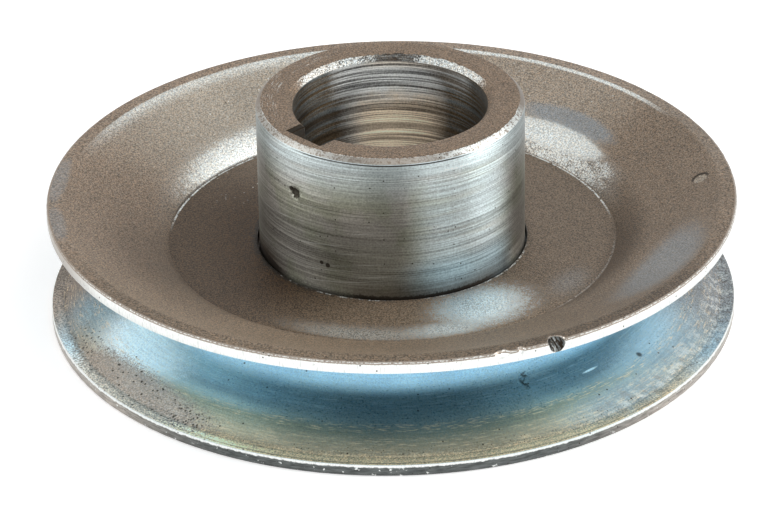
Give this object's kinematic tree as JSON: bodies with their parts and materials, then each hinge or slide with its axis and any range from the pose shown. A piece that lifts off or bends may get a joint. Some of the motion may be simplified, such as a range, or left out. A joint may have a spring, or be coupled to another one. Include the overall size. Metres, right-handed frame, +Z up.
{
  "type": "belt pulley",
  "caption": "Pressed-steel belt pulley with dished flanges set back to back round a tubular hub that has a keyed bore.",
  "frame": {"origin": "centre of the lower rim's resting plane, on the pulley's axis", "axes": "+Z up along the axis towards the long end of the hub; +X to the right and +Y away in the picture's view"},
  "size_m": [0.0904, 0.0904, 0.0298],
  "materials": {
    "flange_plate": "zinc-plated sheet, dulled to a grainy brown grey",
    "groove_plate": "zinc-plated sheet, belt-polished to blue grey in the groove",
    "turned_steel": "turned, with fine rings",
    "weld_steel": "as welded, plated over"
  },
  "bodies": {
    "root": {"upper_flange": "flange_plate", "lower_flange": "groove_plate", "hub": "turned_steel", "hub_weld": "weld_steel"}
  },
  "joints": []
}
